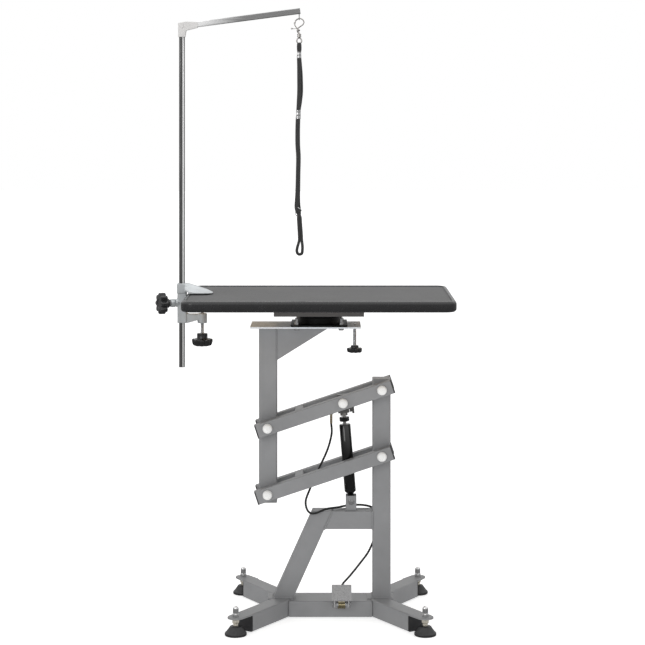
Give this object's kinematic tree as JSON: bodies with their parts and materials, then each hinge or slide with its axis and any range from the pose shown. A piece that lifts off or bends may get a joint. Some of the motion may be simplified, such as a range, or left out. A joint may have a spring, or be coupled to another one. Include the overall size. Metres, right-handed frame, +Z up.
{
  "type": "grooming table",
  "caption": "Grooming table: swivelling mat-topped table on a pedal-released gas-spring parallelogram lift, with splayed legs, levelling feet and a clamp-on arm holding a noose.",
  "frame": {"origin": "on the floor, under the middle of the base beam and midway between the four feet", "axes": "+Z up, +X along the tabletop towards the fixed post's side, +Y to the rear, so the pedal faces -Y"},
  "size_m": [0.8395, 0.514, 1.7134],
  "materials": {
    "powder_grey": "satin powder coat",
    "plate_grey": "satin powder coat",
    "tray_grey": "satin powder coat",
    "zinc": "zinc plated",
    "chrome": "polished",
    "cast_alloy": "cast, bead blasted",
    "black_plastic": "moulded",
    "white_nylon": "moulded",
    "foot_rubber": "moulded",
    "mat_rubber": "ribbed and matt",
    "trim_plastic": "smooth extrusion",
    "board_wood": "plain panel",
    "webbing": "woven nylon",
    "gas_black": "gloss",
    "yellow_zinc": "yellow passivated zinc",
    "brass": "turned",
    "cable_black": "extruded sheath",
    "bearing_black": "satin"
  },
  "bodies": {
    "base": {"base_beam": "powder_grey", "base_legs": "powder_grey", "leg_end_plugs": "black_plastic", "foot_acorn_nuts": "zinc", "post_tube": "powder_grey", "brace_frame": "powder_grey", "gas_lower_bracket": "powder_grey", "post_pivot_bolts": "zinc", "post_bolt_caps": "white_nylon", "pedal_pin": "zinc", "pedal_spring": "yellow_zinc", "release_cable": "cable_black"},
    "foot_front_left": {"foot_pad_front_left": "foot_rubber"},
    "stud_front_left": {"foot_stud_front_left": "zinc"},
    "foot_front_right": {"foot_pad_front_right": "foot_rubber"},
    "stud_front_right": {"foot_stud_front_right": "zinc"},
    "foot_rear_left": {"foot_pad_rear_left": "foot_rubber"},
    "stud_rear_left": {"foot_stud_rear_left": "zinc"},
    "foot_rear_right": {"foot_pad_rear_right": "foot_rubber"},
    "stud_rear_right": {"foot_stud_rear_right": "zinc"},
    "upper_arm": {"upper_arm_frame": "powder_grey", "upper_arm_plugs": "black_plastic", "upper_arm_bushes": "white_nylon", "gas_pivot_bolt": "zinc", "gas_bolt_caps": "white_nylon", "cable_adjuster": "brass"},
    "lower_arm": {"lower_arm_frame": "powder_grey", "lower_arm_plugs": "black_plastic", "lower_arm_bushes": "white_nylon"},
    "column": {"column_tube": "powder_grey", "column_plate": "plate_grey", "column_pivot_bolts": "zinc", "column_bolt_caps": "white_nylon", "swivel_base": "bearing_black", "swivel_bolts": "zinc"},
    "brake_screw": {"lock_screw": "zinc"},
    "brake_knob": {"lock_knob": "black_plastic"},
    "table": {"swivel_head": "bearing_black", "mounting_tray": "tray_grey", "table_board": "board_wood", "table_mat": "mat_rubber", "edge_trim": "trim_plastic", "arm_clamp": "cast_alloy"},
    "table_clamp_screw": {"clamp_screw": "zinc"},
    "table_clamp_knob": {"clamp_knob": "black_plastic"},
    "post_lock_screw": {"side_screw": "zinc"},
    "post_lock_knob": {"side_knob": "black_plastic"},
    "mast": {"arm_post": "zinc", "arm_bracket": "zinc"},
    "boom": {"arm_bar": "zinc"},
    "hook": {"hook_body": "chrome"},
    "hook_gate": {"hook_lever": "chrome"},
    "noose": {"noose_swivel": "chrome", "noose_strap": "webbing", "noose_ferrules": "zinc"},
    "gas_body": {"gas_cylinder": "gas_black"},
    "gas_piston": {"gas_rod": "chrome", "release_head": "cast_alloy"},
    "valve_lever": {"release_lever": "cast_alloy"},
    "pedal": {"pedal_plate": "plate_grey"}
  },
  "joints": [
    {"name": "lift", "type": "hinge", "parent": "base", "child": "upper_arm", "pos_m": [0.144, 0, 0.64], "axis": [0, 1, 0], "range_deg": [0, 40], "deforming": ["release_cable"]},
    {"name": "lower_arm_tilt", "type": "hinge", "parent": "base", "child": "lower_arm", "pos_m": [0.144, 0, 0.454], "axis": [0, 1, 0], "range_deg": [0, 40]},
    {"name": "column_level", "type": "hinge", "parent": "upper_arm", "child": "column", "pos_m": [-0.17653, 0, 0.53275], "axis": [0, 1, 0], "range_deg": [-40, 0]},
    {"name": "gas_tilt", "type": "hinge", "parent": "base", "child": "gas_body", "pos_m": [0.0582, 0, 0.3198], "axis": [0, 1, 0], "range_deg": [-1, 1]},
    {"name": "gas_stroke", "type": "slide", "parent": "gas_body", "child": "gas_piston", "axis": [-0.0818, 0, 0.9967], "range_m": [0, 0.08]},
    {"name": "table_swivel", "type": "hinge", "parent": "column", "child": "table", "pos_m": [-0.032, 0, 0.85], "axis": [0, 0, 1], "continuous": true},
    {"name": "brake_screw_travel", "type": "slide", "parent": "column", "child": "brake_screw", "axis": [0, 0, 1], "range_m": [-0.002, 0.0335]},
    {"name": "brake_knob_turn", "type": "hinge", "parent": "brake_screw", "child": "brake_knob", "pos_m": [0.0685, 0, 0.745], "axis": [0, 0, 1], "range_deg": [-485, 8045]},
    {"name": "table_clamp_travel", "type": "slide", "parent": "table", "child": "table_clamp_screw", "axis": [0, 0, 1], "range_m": [-0.022, 0]},
    {"name": "table_clamp_turn", "type": "hinge", "parent": "table_clamp_screw", "child": "table_clamp_knob", "pos_m": [-0.363, 0, 0.768], "axis": [0, 0, 1], "range_deg": [-5285, 5]},
    {"name": "post_lock_travel", "type": "slide", "parent": "table", "child": "post_lock_screw", "axis": [-0.9063, -0.4226, 0], "range_m": [-0.0008, 0.012]},
    {"name": "post_lock_turn", "type": "hinge", "parent": "post_lock_screw", "child": "post_lock_knob", "pos_m": [-0.4204, 0, 0.88], "axis": [-0.9063, -0.4226, 0], "range_deg": [-195, 2885]},
    {"name": "arm_height", "type": "slide", "parent": "table", "child": "mast", "axis": [0, 0, 1], "range_m": [-0.03, 0.12]},
    {"name": "arm_fold", "type": "hinge", "parent": "mast", "child": "boom", "pos_m": [-0.4204, 0, 1.662], "axis": [0, 1, 0], "range_deg": [0, 10]},
    {"name": "hook_swing", "type": "hinge", "parent": "boom", "child": "hook", "pos_m": [-0.0886, 0, 1.68145], "axis": [0, 1, 0], "range_deg": [-15, 15]},
    {"name": "hook_gate_open", "type": "hinge", "parent": "hook", "child": "hook_gate", "pos_m": [-0.0886, 0, 1.6505], "axis": [0, 1, 0], "range_deg": [0, 15], "stiffness_Nm_per_rad": 0.02},
    {"name": "noose_turn", "type": "hinge", "parent": "hook", "child": "noose", "pos_m": [-0.0886, 0, 1.632], "axis": [0, 0, 1], "continuous": true},
    {"name": "pedal_press", "type": "hinge", "parent": "base", "child": "pedal", "pos_m": [0.031, -0.072, 0.042], "axis": [1, 0, 0], "range_deg": [0, 12], "stiffness_Nm_per_rad": 12},
    {"name": "valve_lever_turn", "type": "hinge", "parent": "gas_piston", "child": "valve_lever", "pos_m": [0.05746, 0, 0.58563], "axis": [0, 1, 0], "range_deg": [-10, 0]},
    {"name": "foot_height_front_left", "type": "slide", "parent": "base", "child": "foot_front_left", "axis": [0, 0, -1], "range_m": [-0.003, 0.012]},
    {"name": "foot_turn_front_left", "type": "hinge", "parent": "foot_front_left", "child": "stud_front_left", "pos_m": [-0.25699, -0.22702, 0.03], "axis": [0, 0, -1], "range_deg": [-725, 2885]},
    {"name": "foot_height_front_right", "type": "slide", "parent": "base", "child": "foot_front_right", "axis": [0, 0, -1], "range_m": [-0.003, 0.012]},
    {"name": "foot_turn_front_right", "type": "hinge", "parent": "foot_front_right", "child": "stud_front_right", "pos_m": [0.25699, -0.22702, 0.03], "axis": [0, 0, -1], "range_deg": [-725, 2885]},
    {"name": "foot_height_rear_left", "type": "slide", "parent": "base", "child": "foot_rear_left", "axis": [0, 0, -1], "range_m": [-0.003, 0.012]},
    {"name": "foot_turn_rear_left", "type": "hinge", "parent": "foot_rear_left", "child": "stud_rear_left", "pos_m": [-0.25699, 0.22702, 0.03], "axis": [0, 0, -1], "range_deg": [-725, 2885]},
    {"name": "foot_height_rear_right", "type": "slide", "parent": "base", "child": "foot_rear_right", "axis": [0, 0, -1], "range_m": [-0.003, 0.012]},
    {"name": "foot_turn_rear_right", "type": "hinge", "parent": "foot_rear_right", "child": "stud_rear_right", "pos_m": [0.25699, 0.22702, 0.03], "axis": [0, 0, -1], "range_deg": [-725, 2885]}
  ],
  "couplings": [
    {"joint": "lower_arm_tilt", "follows": "lift", "ratio": 1},
    {"joint": "column_level", "follows": "lift", "ratio": -1},
    {"joint": "gas_tilt", "follows": "lift", "ratio": 0.015},
    {"joint": "gas_stroke", "follows": "lift", "m_per_rad": 0.1125},
    {"joint": "brake_knob_turn", "follows": "brake_screw_travel", "rad_per_m": 4188.8},
    {"joint": "table_clamp_turn", "follows": "table_clamp_travel", "rad_per_m": 4188.8},
    {"joint": "post_lock_turn", "follows": "post_lock_travel", "rad_per_m": 4188.8},
    {"joint": "valve_lever_turn", "follows": "pedal_press", "ratio": -0.7},
    {"joint": "foot_turn_front_left", "follows": "foot_height_front_left", "rad_per_m": 4188.8},
    {"joint": "foot_turn_front_right", "follows": "foot_height_front_right", "rad_per_m": 4188.8},
    {"joint": "foot_turn_rear_left", "follows": "foot_height_rear_left", "rad_per_m": 4188.8},
    {"joint": "foot_turn_rear_right", "follows": "foot_height_rear_right", "rad_per_m": 4188.8}
  ]
}
